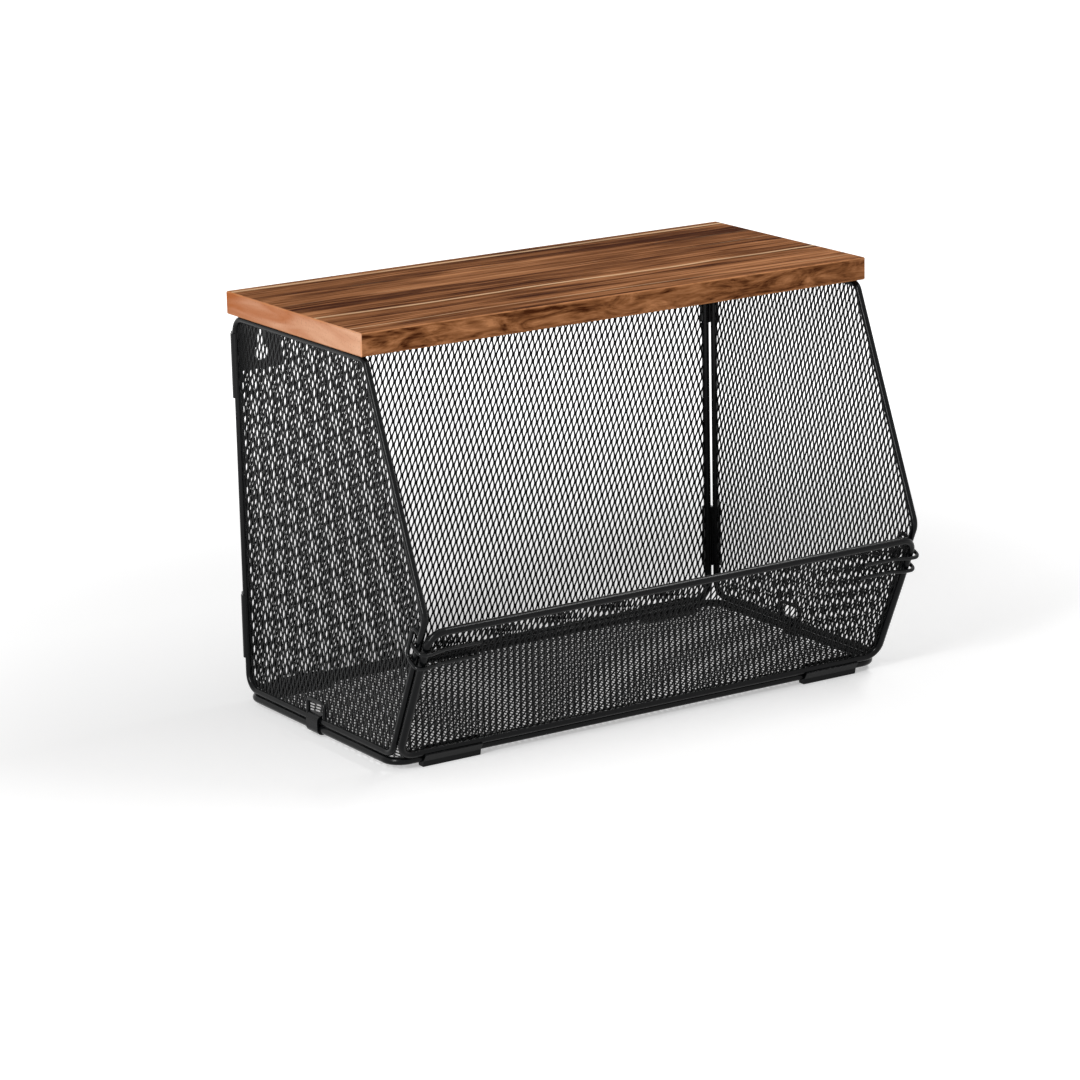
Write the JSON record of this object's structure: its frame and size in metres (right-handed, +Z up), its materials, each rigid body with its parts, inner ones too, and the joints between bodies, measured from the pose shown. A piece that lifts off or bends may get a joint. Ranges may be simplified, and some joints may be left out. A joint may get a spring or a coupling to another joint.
{
  "type": "wire produce basket",
  "caption": "Stackable wire mesh storage basket with an open front, folding sides, a drop-down front panel and a loose wooden lid board.",
  "frame": {"origin": "centre of the footprint, on the surface that the basket stands on", "axes": "+Z up, -Y is the open front, +X to the right seen from the front"},
  "size_m": [0.301, 0.1856, 0.215],
  "materials": {
    "frame": "satin black powder coat",
    "mesh": "satin black powder coat",
    "thin_wire": "satin black powder coat",
    "sheet": "satin black powder coat",
    "lid_board": "oiled brown wood"
  },
  "bodies": {
    "base_and_back": {"back_frame": "frame", "back_mesh": "mesh", "base_clip_left": "sheet", "base_clip_right": "sheet", "base_frame": "frame", "base_mesh": "mesh", "front_left_hinge_strap": "sheet", "front_right_hinge_strap": "sheet", "keyhole_plate_left": "sheet", "keyhole_plate_right": "sheet", "lower_left_hinge_strap": "sheet", "lower_right_hinge_strap": "sheet", "rear_left_hinge_strap": "sheet", "rear_right_hinge_strap": "sheet", "upper_left_hinge_strap": "sheet", "upper_right_hinge_strap": "sheet"},
    "left_side": {"left_base_window_loop": "thin_wire", "left_front_window_loop": "thin_wire", "left_side_frame": "frame", "left_side_mesh": "mesh"},
    "right_side": {"right_base_window_loop": "thin_wire", "right_front_window_loop": "thin_wire", "right_side_frame": "frame", "right_side_mesh": "mesh"},
    "front_panel": {"front_frame": "frame", "front_mesh": "mesh", "hairpin_clip_left": "thin_wire", "hairpin_clip_right": "thin_wire"},
    "lid": {"lid": "lid_board"}
  },
  "joints": [
    {"name": "left_side_fold", "type": "hinge", "parent": "base_and_back", "child": "left_side", "pos_m": [-0.1465, 0.08589, 0.1048], "axis": [0, 0, 1], "range_deg": [0, 90]},
    {"name": "right_side_fold", "type": "hinge", "parent": "base_and_back", "child": "right_side", "pos_m": [0.1465, 0.08589, 0.1048], "axis": [0, 0, -1], "range_deg": [0, 87.5]},
    {"name": "front_drop", "type": "hinge", "parent": "base_and_back", "child": "front_panel", "pos_m": [0, -0.05883, 0.0078], "axis": [1, 0, 0], "range_deg": [0, 62]},
    {"name": "lid_lift", "type": "slide", "parent": "base_and_back", "child": "lid", "axis": [0, 0, 1], "range_m": [0, 0.06]}
  ]
}
